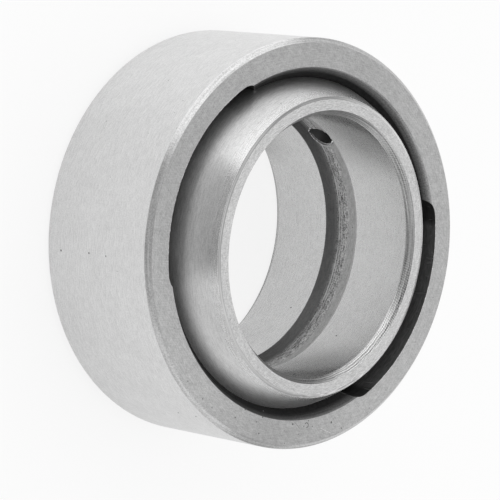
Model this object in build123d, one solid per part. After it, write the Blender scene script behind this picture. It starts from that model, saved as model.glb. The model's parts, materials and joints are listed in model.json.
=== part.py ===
from build123d import *
import math
import os

# A steel spherical plain bearing with a one-piece outer ring and two loader slots.
# Sizes are in millimetres and degrees.
# The origin is the centre of the ball, and +Z is the axis of the inner ring's bore.
# The bearing lies on the inner ring's lower face with the slotted face up, and the outer
# ring has dropped to one side, toward +X, until its rim almost touches the same surface.

# Main sizes. They give a ball of 40.7 mm, an inner width of 22 mm and an outside of 47 mm.
bore_diameter = 30.0
outer_width = 18.0
inner_overhang = 2.0
outer_wall = 2.98

# Inner ring
bore_chamfer_radial = 0.62
bore_chamfer_axial = 0.88
end_face_land = 1.19
ball_edge_bevel_radial = 0.31
ball_edge_bevel_axial = 0.14
groove_width = 4.95
groove_floor_width = 3.2
groove_depth = 0.62
oil_hole_diameter = 2.9
oil_hole_edge_break = 0.12
oil_hole_angle = -120.0

# Outer ring
race_clearance = 0.04
outer_edge_chamfer = 0.58
mouth_chamfer_radial = 0.62
mouth_chamfer_axial = 0.95

# Loader slots: they clear the ball when it goes in edge-on
slot_radial_clearance = 0.17
slot_side_clearance = 1.45
slot_corner_radius = 2.2
slot_lip = 0.36
slot_angle = -13.5

# Gap left between the leaning outer ring and the surface that the inner ring lies on
rim_gap = 0.04

# Sizes that follow
bore_radius = bore_diameter / 2
groove_radius = bore_radius + groove_depth
inner_half = outer_width / 2 + inner_overhang
outer_half = outer_width / 2
end_face_radius = bore_radius + bore_chamfer_radial + end_face_land
ball_radius = math.hypot(end_face_radius + ball_edge_bevel_radial, inner_half)
race_radius = ball_radius + race_clearance
slot_radius = ball_radius + slot_radial_clearance
slot_half_width = inner_half + slot_side_clearance
mouth_radius = slot_radius - slot_lip
outside_radius = slot_radius + outer_wall


def lean_angle():
    """Angle at which the outer ring's lower rim comes down to the surface under the inner ring."""
    rim_radius = outside_radius - outer_edge_chamfer
    rim_reach = math.hypot(rim_radius, outer_half)
    rim_direction = math.atan2(outer_half, rim_radius)
    return math.degrees(math.asin((inner_half - rim_gap) / rim_reach) - rim_direction)


def inner_ring():
    """The ball: a ring with a spherical outside, a flat-bottomed groove in its bore and one oil hole."""
    bevel_height = inner_half - ball_edge_bevel_axial
    bevel_radius = math.sqrt(ball_radius**2 - bevel_height**2)
    chamfer_height = inner_half - bore_chamfer_axial
    face_inner_radius = bore_radius + bore_chamfer_radial
    groove_half = groove_width / 2
    groove_floor_half = groove_floor_width / 2
    with BuildPart() as ring:
        with BuildSketch(Plane.XZ):
            with BuildLine():
                Line((bore_radius, chamfer_height), (face_inner_radius, inner_half))
                Line((face_inner_radius, inner_half), (end_face_radius, inner_half))
                Line((end_face_radius, inner_half), (bevel_radius, bevel_height))
                ThreePointArc((bevel_radius, bevel_height), (ball_radius, 0), (bevel_radius, -bevel_height))
                Line((bevel_radius, -bevel_height), (end_face_radius, -inner_half))
                Line((end_face_radius, -inner_half), (face_inner_radius, -inner_half))
                Line((face_inner_radius, -inner_half), (bore_radius, -chamfer_height))
                Line((bore_radius, -chamfer_height), (bore_radius, -groove_half))
                Line((bore_radius, -groove_half), (groove_radius, -groove_floor_half))
                Line((groove_radius, -groove_floor_half), (groove_radius, groove_floor_half))
                Line((groove_radius, groove_floor_half), (bore_radius, groove_half))
                Line((bore_radius, groove_half), (bore_radius, chamfer_height))
            make_face()
        revolve(axis=Axis.Z)
    return ring.part - oil_hole()


def oil_hole():
    """Cutter for the radial hole from the groove to the ball surface, with its broken inner edge."""
    hole_radius = oil_hole_diameter / 2
    drill_length = ball_radius + oil_hole_edge_break
    edge_length = 2 * oil_hole_edge_break
    drill = Cylinder(hole_radius, drill_length, align=(Align.CENTER, Align.CENTER, Align.MIN))
    edge = Cone(
        hole_radius + edge_length,
        hole_radius,
        edge_length,
        align=(Align.CENTER, Align.CENTER, Align.MIN),
    )
    cutter = drill + Pos(0, 0, groove_radius - oil_hole_edge_break) * edge
    return Rot(0, 0, oil_hole_angle) * Rot(0, 90, 0) * cutter


def outer_ring():
    """The housing ring: a plain cylinder outside, a spherical race inside, two loader slots."""
    chamfer_radius = outside_radius - outer_edge_chamfer
    chamfer_height = outer_half - outer_edge_chamfer
    mouth_end_radius = mouth_radius - mouth_chamfer_radial
    mouth_end_height = outer_half - mouth_chamfer_axial
    # Below the bright mouth chamfer a 45 degree relief runs on until it meets the race.
    relief_offset = mouth_end_radius - mouth_end_height
    race_height = (math.sqrt(2 * race_radius**2 - relief_offset**2) - relief_offset) / 2
    race_mouth_radius = race_height + relief_offset
    upper_side = [
        (race_mouth_radius, race_height),
        (mouth_end_radius, mouth_end_height),
        (mouth_radius, outer_half),
        (chamfer_radius, outer_half),
        (outside_radius, chamfer_height),
    ]
    lower_side = [(radius, -height) for radius, height in reversed(upper_side)]
    with BuildPart() as ring:
        with BuildSketch(Plane.XZ):
            with BuildLine():
                Polyline(*upper_side, *lower_side)
                ThreePointArc(lower_side[-1], (race_radius, 0), upper_side[0])
            make_face()
        revolve(axis=Axis.Z)
    slotted = ring.part - Rot(0, 0, slot_angle) * loader_slots()
    return Rot(0, lean_angle(), 0) * slotted


def loader_slots():
    """Cutter for both slots, from the middle of the race up: the outline of the ball edge-on."""
    with BuildPart() as cutter:
        with BuildSketch():
            Circle(slot_radius)
            Rectangle(2 * slot_radius, 2 * slot_half_width, mode=Mode.INTERSECT)
        extrude(amount=outer_half)
        fillet(cutter.edges().filter_by(Axis.Z), slot_corner_radius)
    return cutter.part


os.makedirs("parts", exist_ok=True)
export_step(inner_ring(), "parts/inner_ring.step")
export_step(outer_ring(), "parts/outer_ring.step")
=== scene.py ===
import json
import math

import bmesh
import bpy
from mathutils import Matrix, Vector, noise


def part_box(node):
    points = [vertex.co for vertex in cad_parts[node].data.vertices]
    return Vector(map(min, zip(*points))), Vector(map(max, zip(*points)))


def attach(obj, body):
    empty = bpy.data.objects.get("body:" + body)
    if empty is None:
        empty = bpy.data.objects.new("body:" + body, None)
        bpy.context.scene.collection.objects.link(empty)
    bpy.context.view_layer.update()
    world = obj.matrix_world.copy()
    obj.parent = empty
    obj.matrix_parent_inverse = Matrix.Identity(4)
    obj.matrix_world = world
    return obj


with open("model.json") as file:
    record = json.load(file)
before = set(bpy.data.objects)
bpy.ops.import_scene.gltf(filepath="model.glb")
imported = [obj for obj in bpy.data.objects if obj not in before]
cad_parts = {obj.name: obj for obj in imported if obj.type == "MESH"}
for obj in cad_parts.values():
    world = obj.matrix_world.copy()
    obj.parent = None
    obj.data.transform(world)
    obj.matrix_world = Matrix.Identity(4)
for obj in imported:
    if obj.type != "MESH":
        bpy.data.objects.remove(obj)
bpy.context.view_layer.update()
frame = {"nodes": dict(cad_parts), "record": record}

# Looks of a steel spherical plain bearing, in the CAD model's frame.
# Lengths are in millimetres in the finishes, where the node coordinates are scaled, and along
# the edges that carry burrs. The rest of Blender is in metres. Directions are in degrees, and the
# outer ring's lean is in radians.

mm = 0.001
mounts = {mount["name"]: mount for mount in frame["record"]["mounts"]}

# Sizes from the frame
inner_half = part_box("inner_ring")[1].z / mm
ball_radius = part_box("inner_ring")[1].x / mm
bore_radius = mounts["bore"]["dims"]["r_mm"]
outside_radius = mounts["seat"]["dims"]["r_mm"]
outer_axis = Vector(mounts["seat"]["axis"])
outer_lean = math.atan2(outer_axis.x, outer_axis.z)
outer_half = Vector(mounts["slotted_housing_face"]["pos_m"]).dot(outer_axis) / mm
floor_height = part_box("inner_ring")[0].z

# Inner ring: the bevel between the ball and the end face, the bore's chamfer and groove, and the
# oil hole. The margin is a box a little wider than the groove.
bevel_inner_radius = 16.84
bevel_outer_radius = 17.14
bore_chamfer_radius = 15.62
groove_radius = 15.62
groove_margin_radius = 15.7
groove_margin_half = 2.6
oil_hole_radius = 1.45
oil_hole_edge_radius = 1.58
oil_hole_angle = -120.0

# Outer ring: the race with the slots, and the chamfers at its mouths
inside_radius = 21.0
mouth_radius = 20.16
mouth_chamfer_inset = 0.62
mouth_chamfer_depth = 0.95
slot_radius = 20.52
slot_half_width = 12.45
slot_middle_half = 10.0
slot_angle = -13.5

# Burrs: their thicknesses, and how many lumps, teeth and waves there are to a millimetre
oil_hole_burr = 0.11
slot_burr = 0.03
burr_sides = 6
burr_lumps = 1.7
burr_teeth = 4.3
burr_waves = 2.9

# Studio
floor_half = 1.5
floor_white_share = 0.84
floor_glossy_share = 0.5
world_level = 0.40
world_slope = (-0.16, -0.12, 0.52)
lamp_distance = 1.2
white = (1.0, 1.0, 1.0, 1.0)
pale = (0.9, 0.9, 0.9, 1.0)

# Camera: the photograph's view of the slotted face, rolled so that the bearing fills the frame alike
camera_place = Vector((283.597, 21.893, 264.866)) * mm
camera_right = Vector((-0.66175, -0.19787, 0.72315))
camera_up = Vector((0.17280, -0.97883, -0.10970))
camera_lens = 242.35


class Value:
    """Something that nodes work out. It is added, subtracted and multiplied like a plain number."""

    def __init__(self, nodes, socket):
        self.nodes = nodes
        self.socket = socket

    def __add__(self, other):
        return self.nodes.math("ADD", self, other)

    def __sub__(self, other):
        return self.nodes.math("SUBTRACT", self, other)

    def __rsub__(self, other):
        return self.nodes.math("SUBTRACT", other, self)

    def __mul__(self, other):
        return self.nodes.math("MULTIPLY", self, other)

    def __abs__(self):
        return self.nodes.math("ABSOLUTE", self)

    def line(self, low, high, start, end, kind="LINEAR"):
        """Goes in a straight line from start to end as the value goes from low to high."""
        ends = (low, high, start, end)
        return self.nodes.value("ShaderNodeMapRange", self, *ends, interpolation_type=kind)

    def rise(self, low, high):
        """Goes smoothly from nothing to one as the value goes from low to high."""
        return self.line(low, high, 0.0, 1.0, kind="SMOOTHSTEP")

    def fall(self, low, high):
        """Goes smoothly from one to nothing as the value goes from low to high."""
        return self.line(low, high, 1.0, 0.0, kind="SMOOTHSTEP")

    def ridge(self, middle, half):
        """One where the value is middle, falling smoothly to nothing half away from it."""
        return abs(self - middle).fall(0.0, half)

    def spread(self, start, end, reach=0.15):
        """Turns noise, which keeps near a half, into values from start to end."""
        return self.line(0.5 - reach, 0.5 + reach, start, end)


class Nodes:
    """A node tree that is built up from formulas."""

    def __init__(self, tree):
        self.tree = tree
        self.tree.nodes.clear()

    def put(self, socket, value):
        """Feeds a socket from another node's output, or sets it to a constant."""
        if isinstance(value, Value):
            self.tree.links.new(value.socket, socket)
        elif value is not None:
            socket.default_value = value

    def add(self, kind, *values, named=None, **settings):
        """Adds a node, sets its properties and fills its first inputs and those given by name."""
        node = self.tree.nodes.new(kind)
        for name, value in settings.items():
            setattr(node, name, value)
        for socket, value in zip(node.inputs, values):
            self.put(socket, value)
        for name, value in (named or {}).items():
            self.put(node.inputs[name], value)
        return node

    def value(self, kind, *values, output=0, **settings):
        """Adds a node and gives one of its outputs."""
        return Value(self, self.add(kind, *values, **settings).outputs[output])

    def parts(self, kind, whole):
        """The three parts of a vector or a colour."""
        return [Value(self, part) for part in self.add(kind, whole).outputs]

    def math(self, operation, first, second=None):
        """Adds, multiplies or does something else of the kind with one number or two."""
        return self.value("ShaderNodeMath", first, second, operation=operation)

    def blend(self, share, first, second):
        """Goes from the first number to the second as share goes from nothing to one."""
        return self.value("ShaderNodeMix", share, None, first, second, data_type="FLOAT")

    def distance(self, x, y):
        """How far the point (x, y) lies from the middle."""
        return self.math("SQRT", x * x + y * y)

    def ray(self, kind):
        """One for rays of that kind, and nothing for others."""
        return self.value("ShaderNodeLightPath", output=kind)

    def seen(self):
        """One for the rays that the camera sees by, straight or through something clear."""
        return self.ray("Is Camera Ray") + self.ray("Is Transmission Ray")


class Finish(Nodes):
    """A steel's node tree, built up by painting one finish over another.

    Relief is in millimetres, and so are the coordinates.
    """

    def __init__(self, name, lean=0.0):
        """Takes places in millimetres in the ring's own frame, with its lean about Y turned back."""
        self.material = bpy.data.materials.new(name)
        self.material.use_nodes = True
        super().__init__(self.material.node_tree)
        place = self.value("ShaderNodeTexCoord", output="Object")
        scaled = self.value("ShaderNodeVectorMath", place, named={"Scale": 1 / mm}, operation="SCALE")
        self.place = self.value(
            "ShaderNodeVectorRotate", scaled, named={"Angle": -lean}, rotation_type="Y_AXIS"
        )
        self.x, self.y, self.z = self.parts("ShaderNodeSeparateXYZ", self.place)
        self.height = abs(self.z)
        self.radius = self.distance(self.x, self.y)

    def noise(self, scale, detail=2.0, place=None):
        """Soft noise from nothing to one, about a half, with features 1/scale mm long."""
        fineness = {"Scale": scale, "Detail": detail}
        return self.value("ShaderNodeTexNoise", place or self.place, named=fineness, output="Fac")

    def vector(self, x, y, z):
        """Joins three numbers."""
        return self.value("ShaderNodeCombineXYZ", x, y, z)

    def toward(self, right, up):
        """How far a place lies in the direction (right, up) of the XY plane."""
        return self.x * right + self.y * up

    def angle(self):
        """Angle around the axis, in radians."""
        return self.math("ARCTAN2", self.y, self.x)

    def clouds(self):
        """Soft patches that are 2 percent brighter or darker."""
        return self.noise(0.35).spread(0.98, 1.02, 0.2)

    def streaks(self, across, pitch, length, detail=2.0):
        """Fine marks around the axis, pitch apart along the coordinate across, and about length long."""
        around = 1 / length
        place = self.vector(self.x * around, self.y * around, across * (1 / pitch))
        return self.noise(1.0, detail, place)

    def grain(self, across, pitch, length):
        """Fine grinding marks around the axis, with finer specks among them."""
        return self.streaks(across, pitch, length, 1.0) * 0.6 + self.noise(7.0, 1.0) * 0.4

    def strokes(self, direction, pitch, length):
        """Fine straight marks in the XY plane that run towards direction."""
        right, up = unit(direction)
        along = self.toward(right, up) * (1 / length)
        across = self.toward(-up, right) * (1 / pitch)
        return self.noise(1.0, place=self.vector(along, across, self.z * 0.2))

    def chatter(self, count):
        """Tool chatter: about that many slanting ripples around the axis, strong in places."""
        uneven = self.noise(0.6) * 16.0 + self.z * 9.0
        ripple = self.math("SINE", self.angle() * count + uneven)
        return ripple * self.noise(0.25).rise(0.4, 0.6)

    def pits(self, spacing, size, share):
        """Round pits, one in that share of the cells of about spacing, and none wider than size."""
        cells = self.add("ShaderNodeTexVoronoi", self.place, named={"Scale": 1 / spacing}).outputs
        chance = self.parts("ShaderNodeSeparateColor", Value(self, cells["Color"]))
        reach = chance[1] * (size / spacing / 2)
        kept = self.math("LESS_THAN", chance[0], share)
        return kept * Value(self, cells["Distance"]).fall(reach * 0.6, reach)

    def curl(self, x, y, size):
        """Thin hooked scratch: two thirds of a small circle around (x, y), open between +X and +Y."""
        east = self.x - x
        north = self.y - y
        hooked = (east + north).fall(0.6 * size, 0.8 * size)
        return self.distance(east, north).ridge(size, 0.07) * hooked

    def scratch(self, x, y, direction, length):
        """Thin straight scratch in the XY plane, from the place (x, y) towards direction."""
        right, up = unit(direction)
        east = self.x - x
        north = self.y - y
        along = east * right + north * up
        aside = north * right - east * up
        return aside.ridge(0.0, 0.06) * along.rise(0.0, 0.1) * along.fall(length - 0.3, length)

    def start(self, grey, roughness, relief):
        """Lays the finish that lies under all the others."""
        self.grey, self.roughness, self.relief = grey, roughness, relief

    def paint(self, where, grey, roughness, relief=0.0):
        """Lays a finish over what is there, as far as the mask where allows."""
        self.grey = self.blend(where, self.grey, grey)
        self.roughness = self.blend(where, self.roughness, roughness)
        self.relief = self.blend(where, self.relief, relief)

    def darken(self, where, share):
        """Takes a share of the brightness away, as far as the mask where allows."""
        self.grey = self.grey * (1.0 - where * share)

    def finish(self, anisotropy):
        """Bare steel, turned or ground around Z, so that its shine spreads across the grain."""
        shading = {
            "Roughness": self.roughness,
            "Normal": self.value("ShaderNodeBump", named={"Distance": mm, "Height": self.relief}),
            "Tangent": self.value("ShaderNodeTangent", direction_type="RADIAL", axis="Z"),
            "Metallic": 1.0,
            "Anisotropic": anisotropy,
            "Anisotropic Rotation": 0.25,
        }
        colour = self.value("ShaderNodeCombineColor", self.grey, self.grey, self.grey)
        surface = self.value("ShaderNodeBsdfPrincipled", colour, named=shading)
        self.add("ShaderNodeOutputMaterial", surface)
        return self.material


def unit(direction):
    """Shares of X and Y in a direction of the XY plane."""
    angle = math.radians(direction)
    return math.cos(angle), math.sin(angle)


def ring_steel():
    """Outer ring: ground outside and faces, bright mouth chamfers, blackened race and slots."""
    steel = Finish("ring_steel", outer_lean)
    depth = outer_half - steel.height
    on_face = depth.fall(0.01, 0.03)
    within = steel.radius.fall(inside_radius - 0.1, inside_radius + 0.1) * (1.0 - on_face)

    # Edge chamfers, turned
    turned = steel.streaks(steel.height, 0.16, 6.0)
    mottled = turned * 0.5 + steel.noise(6.0, 1.0) * 0.5
    steel.start(mottled.spread(0.40, 0.70), 0.30, turned * 0.012)

    paint_outside(steel)
    paint_ring_faces(steel, on_face)
    blacken_inside(steel, within)
    paint_mouth_chamfers(steel, depth, on_face, turned, mottled)
    scratch_ring_faces(steel, on_face)

    # Pits, but none inside the ring
    pitted = steel.pits(2.2, 0.34, 0.35) + steel.pits(0.8, 0.16, 0.25)
    steel.darken((1.0 - within) * pitted, 0.8)
    anisotropy = on_face.line(0.0, 1.0, 0.5, 0.8)
    return steel.finish(anisotropy)


def paint_outside(steel):
    """The outside, finely ground around, with a painted reflection that makes it a little darker toward +Y.
    """
    on_outside = steel.radius.rise(outside_radius - 0.05, outside_radius - 0.02)
    ground = steel.grain(steel.z, 0.06, 0.9)
    # Painted reflection: a soft step, about 6 percent darker toward +Y
    painted_reflection_step = steel.y.line(-14.0, -8.0, 1.035, 0.975, kind="SMOOTHSTEP")
    grey = ground.spread(0.645, 0.86) * steel.clouds() * painted_reflection_step
    steel.paint(on_outside, grey, ground.spread(0.32, 0.42), ground * 0.004)


def paint_ring_faces(steel, on_face):
    """The outer ring's end faces: faint rings from turning, crossed by straight marks from lapping."""
    pitch = 0.08
    rings = steel.grain(steel.radius, pitch, 0.9)
    crossed = steel.strokes(8.0, pitch, 0.8) + steel.strokes(84.0, pitch, 0.9)
    lapped = crossed + steel.strokes(-36.0, pitch, 1.5)
    marks = rings * 0.34 + lapped * 0.22

    # Painted reflection: on the +X side lighter toward +Y than toward -Y, and darker at the +Y end
    painted_reflection_tilt = steel.math("MAXIMUM", steel.x, 0.0) * steel.y * 0.0004
    grey = marks.spread(0.315, 0.535, 0.1) * steel.clouds() * (painted_reflection_tilt + steel.y.line(19.5, 21.2, 1.0, 0.95))
    steel.paint(on_face, grey, marks.spread(0.30, 0.44, 0.2), marks * 0.012)


def blacken_inside(steel, within):
    """The race, blackened, and the slots, scraped."""
    soot = steel.noise(3.0)
    steel.paint(within, soot.spread(0.014, 0.024, 0.2), 0.42, soot * 0.01)

    # Slots, with painted shade that darkens their corners
    right, up = unit(slot_angle)
    beside = abs(steel.toward(-up, right))
    in_width = beside.fall(slot_half_width + 0.03, slot_half_width + 0.09)
    in_slot = in_width * steel.z.rise(-0.04, -0.01) * within
    scraped = steel.streaks(steel.z, 0.2, 0.8).spread(0.14, 0.24, 0.2)
    middle = beside.fall(slot_middle_half, slot_middle_half + 1.0)
    steel.paint(in_slot, scraped * middle.line(0.0, 1.0, 0.35, 1.0), 0.5, soot * 0.02)

    # Bright specks on both, and thin scratches along the slots
    steel.paint(within * steel.pits(0.5, 0.16, 0.12), 0.5, 0.3)
    lengthwise = steel.noise(1.0, 0.0, steel.vector(steel.angle() * 70.0, steel.z * 0.3, 0.0))
    steel.paint(in_slot * lengthwise.rise(0.74, 0.80), 0.5, 0.3)


def paint_mouth_chamfers(steel, depth, on_face, turned, mottled):
    """The mouth chamfers, bright at the edge, with painted shade that darkens them inward, and painted
    light and shade that make them lighter toward -Y and darker toward +Y.
    """
    cone_radius = mouth_radius - depth * (mouth_chamfer_inset / mouth_chamfer_depth)
    in_depth = depth.fall(mouth_chamfer_depth - 0.02, mouth_chamfer_depth + 0.04)
    on_chamfer = steel.radius.ridge(cone_radius, 0.12) * in_depth * (1.0 - on_face)
    # Painted shade, darker inward from the bright edge
    painted_shade_inward = depth.line(0.0, 0.3, 0.16, 0.0) + depth.line(0.0, mouth_chamfer_depth, 0.24, 0.04)
    # Painted light and shade: lighter toward -Y, darker toward +Y
    painted_shading = steel.y.line(-16.0, 16.0, 1.25, 0.6)
    steel.paint(on_chamfer, painted_shade_inward * painted_shading * mottled.spread(0.65, 1.35), 0.34, turned * 0.012)


def scratch_ring_faces(steel, on_face):
    """A curled scratch and two straight ones near the mouths, and a cluster of small pits."""
    steel.darken(on_face * steel.curl(-5.53, 20.08, 0.28), 0.95)
    steel.darken(on_face * steel.scratch(-3.56, 19.95, 148.0, 1.3), 0.5)
    steel.paint(on_face * steel.scratch(-7.8, 20.06, 169.0, 2.0), 0.62, 0.3)
    steel.darken(on_face * steel.y.rise(15.0, 19.0) * steel.pits(0.6, 0.34, 0.6), 0.7)


def ball_steel():
    """Inner ring: polished ball, ground end faces and bore, chattered bore chamfers, turned groove."""
    steel = Finish("ball_steel")
    from_centre = steel.value("ShaderNodeVectorMath", steel.place, output="Value", operation="LENGTH")
    on_ball = from_centre.rise(ball_radius - 0.05, ball_radius - 0.02)
    on_bore = steel.radius.fall(bore_radius + 0.01, bore_radius + 0.03)

    # Marks that the turning tool left: rough ridges, and waves at the pitch of its feed
    feed_pitch = 0.21
    ridges = steel.streaks(steel.z, 0.12, 9.0)
    feed = steel.math("SINE", steel.z * (2 * math.pi / feed_pitch) + steel.noise(0.8) * 9.0)

    start_bore_chamfers(steel, ridges, feed)
    paint_ball(steel, on_ball)
    shade_bevel_edges(steel, ridges)
    paint_bore(steel, on_bore, feed)
    paint_groove(steel, on_bore)

    # Oil hole, painted darker inside as shade
    past_groove = steel.radius.rise(groove_radius + 0.13, groove_radius + 0.38)
    in_width = steel.height.fall(oil_hole_radius + 0.05, oil_hole_radius + 0.15)
    steel.paint(past_groove * in_width * (1.0 - on_ball), 0.38, 0.5)

    paint_ball_end_faces(steel)

    # Pits, but none low on the ball
    pitted = steel.pits(2.4, 0.34, 0.4) + steel.pits(0.8, 0.16, 0.25)
    steel.darken(pitted * (1.0 - on_ball * steel.height.fall(8.0, 9.0)), 0.8)
    return steel.finish(0.4)


def start_bore_chamfers(steel, ridges, feed):
    """The bore chamfers: turned ridges with chatter across them, with painted light that makes them
    brightest toward -Y and -Z.

    The bevel beside the ball has the ridges too.
    """
    on_chamfer = steel.radius.fall(bore_chamfer_radius + 0.08, bore_chamfer_radius + 0.68)
    specks = (steel.noise(6.0) - 0.5) * 0.3 + steel.chatter(340.0) * 0.06
    uneven = ridges * 0.7 + specks * on_chamfer + 0.15
    # Painted light: lighter toward -Y, and on the chamfer at the -Z end
    painted_light_toward_minus_y = steel.toward(0.26, -0.97).line(10.0, 14.0, 0.0, 0.50)
    chamfer_painted_light = (painted_light_toward_minus_y + steel.z.line(-1.0, 1.0, 0.25, 0.0)) * on_chamfer + 1.0

    # The waves of the tool's feed show between -X and +Y
    ridged = steel.toward(-0.77, 0.64).rise(8.0, 14.0)
    marks = uneven - 0.5 + feed * ridged * 0.10
    grey = marks * ridged.line(0.0, 1.0, 1.4, 1.7) + 0.43
    steel.start(grey * chamfer_painted_light, 0.34, uneven * 0.03)


def paint_ball(steel, on_ball):
    """The ball, polished around, with a painted reflection that lightens it toward +Y, and painted shade in
    a band high toward +Y, low toward +X and lowest down.
    """
    polished = steel.grain(steel.z, 0.07, 1.0)
    rougher = steel.height.line(6.0, 10.5, 1.0, 0.0) * steel.y.line(-8.0, 14.0, 0.12, 0.30)
    # Painted reflection lightens the ball toward +Y; painted shade darkens a band high toward +Y
    ball_painted_reflection = steel.y.rise(9.0, 16.0) * steel.height.line(8.0, 10.5, 0.18, 0.05)
    painted_shade_band = steel.y.ridge(12.5, 6.0) * steel.height.rise(8.5, 9.8)
    painted_reflection_and_shade = ball_painted_reflection + 1.0 - painted_shade_band * 0.13
    steel.paint(
        on_ball,
        # Painted shade also darkens the ball lowest down
        polished.spread(0.57, 0.77) * steel.height.line(5.2, 7.0, 0.7, 1.0) * steel.clouds() * painted_reflection_and_shade,
        polished.spread(0.25, 0.28) + rougher,
        polished * steel.height.line(9.0, 10.5, 0.0009, 0.0005),
    )
    # Painted shade, low toward +X
    painted_shading = steel.height.fall(6.5, 9.5) * steel.x.rise(0.0, 8.0) * steel.y.ridge(2.0, 9.0)
    steel.darken(on_ball * painted_shading, 0.15)


def shade_bevel_edges(steel, ridges):
    """Painted shade: thin dark lines at both edges of the bevel between the ball and the end face, darker
    toward +X and -Y.
    """
    inner_line = steel.radius.ridge(bevel_inner_radius, 0.08)
    outer_line = steel.radius.ridge(bevel_outer_radius, 0.07) * 0.7
    # Painted shade, stronger toward +X and -Y
    painted_shade_strength = steel.toward(0.8, -0.6).line(6.0, 14.0, 0.3, 0.8)
    by_end = steel.height.rise(10.7, 10.8)
    steel.darken((inner_line + outer_line) * by_end * ridges.rise(0.3, 0.5), painted_shade_strength)


def paint_bore(steel, on_bore, feed):
    """The bore, ground, with marks of turning left near its ends and painted shade on two sides."""
    ground = steel.grain(steel.z, 0.08, 1.0)
    near_end = steel.height.rise(7.2, 10.3) * steel.noise(0.13).rise(0.4, 0.55)
    grey = ground.spread(0.65, 0.83) * steel.clouds()
    steel.paint(on_bore, grey, ground.spread(0.22, 0.31), ground * 0.003 + feed * near_end * 0.003)

    # Painted shade standing for dark reflections, on two sides: it reaches from the end to the groove
    # toward +Z, and not so far toward -Z
    aside = abs(steel.y)
    sides = aside.rise(9.2, 13.6) * aside.line(14.2, 15.0, 1.0, 0.75)
    lower = steel.height.rise(4.0, 11.5)
    upper = steel.height.line(3.0, 6.5, 0.62, 1.0)
    steel.darken(on_bore * sides * steel.blend(steel.z.rise(-1.0, 1.0), lower, upper), 0.40)


def paint_groove(steel, on_bore):
    """The groove: smooth sloping sides, and a floor that is dark, torn and smooth in turn toward +Z."""
    in_width = steel.height.fall(groove_margin_half, groove_margin_half + 0.1)
    in_depth = steel.radius.fall(groove_margin_radius, groove_margin_radius + 0.1)
    in_groove = (1.0 - on_bore) * in_width * in_depth
    torn = steel.streaks(steel.z, 0.15, 0.9) * 0.5 + steel.noise(6.0) * 0.5
    # The sides are dark unground steel, with painted light making the +Z side lighter than the -Z side
    side_grey_with_painted_light = steel.z.line(-0.5, 0.5, 0.15, 0.75) * torn.spread(0.8, 1.2, 0.2)
    steel.paint(in_groove, side_grey_with_painted_light, 0.5, torn * 0.003)

    on_floor = steel.radius.rise(groove_radius - 0.05, groove_radius - 0.02) * in_groove
    torn_grey = torn.spread(0.13, 0.66, 0.1) * steel.z.line(-0.9, 0.6, 0.6, 1.1)
    floor_grey = steel.blend(steel.z.rise(0.2, 0.9), torn_grey, torn.spread(0.33, 0.53))
    floor_grey = steel.blend(steel.z.fall(-1.45, -0.75), floor_grey, torn.spread(0.12, 0.17, 0.2))
    roughly = steel.z.rise(-1.1, -0.7) * steel.z.fall(0.2, 0.8) * 0.02
    steel.paint(on_floor, floor_grey, 0.36, torn * roughly)

    # Two bright lines that the tool left, broken in places
    tool_lines = steel.z.ridge(-0.80, 0.13) + steel.z.ridge(-0.45, 0.12) * 0.7
    steel.paint(on_floor * tool_lines * steel.noise(0.3).rise(0.35, 0.6), 0.55, 0.3)


def paint_ball_end_faces(steel):
    """The inner ring's end faces, ground around and crossed by straight marks, darker toward -X."""
    on_face = (inner_half - steel.height).fall(0.005, 0.02)
    marks = steel.grain(steel.radius, 0.09, 0.6) * 0.6 + steel.strokes(30.0, 0.09, 0.4) * 0.4
    grey = marks.spread(0.41, 0.67, 0.12) * steel.clouds() * steel.x.line(-16.0, 0.0, 0.96, 1.0)
    steel.paint(on_face, grey, marks.spread(0.28, 0.40, 0.2), marks * 0.012)


def burr_steel():
    """Bright thin burrs."""
    steel = Finish("burr_steel")
    ragged = steel.noise(4.0)
    steel.start(ragged.spread(0.5, 1.0), ragged.spread(0.25, 0.4, 0.2), ragged * 0.02)
    return steel.finish(0.0)


def burr_corners(before, point, after, thickness):
    """Corners of a burr's ragged section at a point of its edge, between the points before and after."""
    along = (after - before).normalized()
    side = along.cross(point.normalized()).normalized()
    out = side.cross(along)
    ragged = noise.noise(point * burr_lumps) + 0.6 * noise.noise(point * burr_teeth)
    reach = thickness * max(0.2, 0.6 + ragged)
    middle = point + out * 0.6 * thickness * noise.noise(point * burr_waves)
    turns = [2 * math.pi * step / burr_sides for step in range(burr_sides)]
    return [middle + (side * math.cos(turn) + out * math.sin(turn)) * reach for turn in turns]


def add_burr(name, body, points, thickness, closed):
    """Thin ragged wire of metal along an edge, through points in millimetres."""
    count = len(points)
    rings = bmesh.new()
    loops = []
    for index, point in enumerate(points):
        before = points[(index - 1) % count] if closed or index > 0 else point
        after = points[(index + 1) % count] if closed or index < count - 1 else point
        corners = burr_corners(before, point, after, thickness)
        loops.append([rings.verts.new(corner * mm) for corner in corners])
    for index in range(count if closed else count - 1):
        this, following = loops[index], loops[(index + 1) % count]
        for near in range(burr_sides):
            far = (near + 1) % burr_sides
            rings.faces.new((this[near], this[far], following[far], following[near]))
    if not closed:
        rings.faces.new(loops[0])
        rings.faces.new(list(reversed(loops[-1])))
    bmesh.ops.recalc_face_normals(rings, faces=rings.faces)
    mesh = bpy.data.meshes.new(name)
    rings.to_mesh(mesh)
    rings.free()
    mesh.shade_smooth()
    mesh.materials.append(bpy.data.materials["burr_steel"])
    piece = bpy.data.objects.new(name, mesh)
    bpy.context.scene.collection.objects.link(piece)
    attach(piece, body)


def hole_edge():
    """Points around the oil hole's edge, on the floor of the groove."""
    steps = 120
    turn = Matrix.Rotation(math.radians(oil_hole_angle), 3, "Z")
    points = []
    for step in range(steps):
        angle = 2 * math.pi * step / steps
        across = oil_hole_edge_radius * math.cos(angle)
        up = oil_hole_edge_radius * math.sin(angle)
        points.append(turn @ Vector((math.sqrt(groove_radius**2 - across**2), across, up)))
    return points


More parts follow.
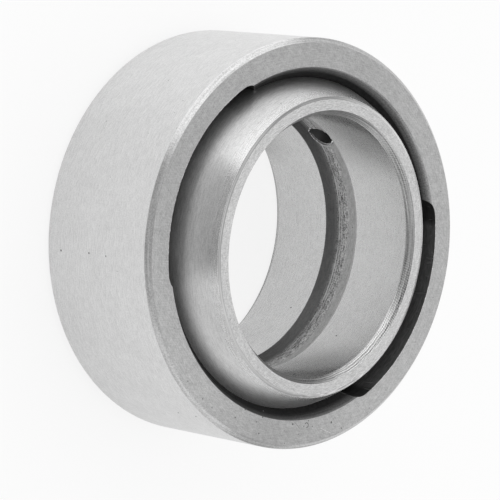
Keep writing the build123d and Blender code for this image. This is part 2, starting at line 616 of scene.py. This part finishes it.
def slot_edge(side):
    """Points along the edge that a loader slot cuts in the end face, in the leaned ring's place."""
    steps = 240
    half_angle = 31.0
    lean = Matrix.Rotation(outer_lean, 3, "Y")
    points = []
    for step in range(steps + 1):
        right, up = unit(side + slot_angle - half_angle + 2 * half_angle * step / steps)
        points.append(lean @ Vector((slot_radius * right, slot_radius * up, outer_half)))
    return points


def dress(node, material):
    """Gives a CAD node its finish."""
    slots = frame["nodes"][node].data.materials
    slots.clear()
    slots.append(material)


def floor_white():
    """Pale floor that looks white and still takes a shadow."""
    material = bpy.data.materials.new("floor_white")
    material.use_nodes = True
    nodes = Nodes(material.node_tree)
    lit = nodes.value("ShaderNodeBsdfDiffuse", pale)
    glow = nodes.value("ShaderNodeEmission", white, 1.0)
    share = nodes.seen() * floor_white_share + nodes.ray("Is Glossy Ray") * floor_glossy_share
    nodes.add("ShaderNodeOutputMaterial", nodes.value("ShaderNodeMixShader", share, lit, glow))
    return material


def add_floor():
    """Plain floor under the bearing."""
    ends = (-floor_half, floor_half)
    mesh = bpy.data.meshes.new("floor")
    corners = [(x, y, floor_height) for x in ends for y in ends]
    mesh.from_pydata(corners, [], [(0, 2, 3, 1)])
    mesh.materials.append(floor_white())
    floor = bpy.data.objects.new("floor", mesh)
    bpy.context.scene.collection.objects.link(floor)


def set_world():
    """Plain pale surroundings, brighter overhead and toward the key. The camera sees them white."""
    world = bpy.data.worlds.new("studio")
    bpy.context.scene.world = world
    world.use_nodes = True
    nodes = Nodes(world.node_tree)
    direction = nodes.value("ShaderNodeTexCoord", output="Generated")
    slope = nodes.value(
        "ShaderNodeVectorMath", direction, world_slope, output="Value", operation="DOT_PRODUCT"
    )
    strength = nodes.blend(nodes.seen(), slope + world_level, 1.0)
    nodes.add("ShaderNodeOutputWorld", nodes.value("ShaderNodeBackground", white, strength))


def add_softbox(name, azimuth, elevation, width, height, brightness):
    """Flat soft lamp that faces the bearing from far off. A brightness of 1 is white."""
    data = bpy.data.lights.new(name, "AREA")
    data.shape = "RECTANGLE"
    data.size = width
    data.size_y = height
    data.energy = brightness * width * height * math.pi
    lamp = bpy.data.objects.new(name, data)
    bpy.context.scene.collection.objects.link(lamp)
    x, y = unit(azimuth)
    level, upward = unit(elevation)
    away = Vector((level * x, level * y, upward))
    lamp.location = away * lamp_distance
    lamp.rotation_euler = away.to_track_quat("Z", "Y").to_euler()
    lamp.visible_camera = False


def add_camera():
    """The photograph's view."""
    data = bpy.data.cameras.new("camera")
    data.lens = camera_lens
    data.clip_start = 0.01
    camera = bpy.data.objects.new("camera", data)
    bpy.context.scene.collection.objects.link(camera)
    right = camera_right.normalized()
    back = right.cross(camera_up).normalized()
    up = back.cross(right)
    turn = Matrix((right, up, back)).transposed()
    camera.matrix_world = Matrix.Translation(camera_place) @ turn.to_4x4()
    bpy.context.scene.camera = camera


dress("outer_ring", ring_steel())
dress("inner_ring", ball_steel())
burr_steel()
add_burr("oil_hole_burr", "inner_ring", hole_edge(), oil_hole_burr, closed=True)
add_burr("slot_burr_near", "outer_ring", slot_edge(0.0), slot_burr, closed=False)
add_burr("slot_burr_far", "outer_ring", slot_edge(180.0), slot_burr, closed=False)
add_floor()
set_world()
add_softbox("key", -76.0, 26.0, 1.75, 1.05, 0.85)
add_softbox("fill", 74.0, 16.0, 2.1, 0.7, 0.51)
add_softbox("top", 180.0, 78.0, 1.2, 1.0, 0.25)
add_softbox("back", -178.0, 20.0, 1.2, 0.6, 0.80)
add_camera()
bpy.context.scene.view_settings.view_transform = "Standard"
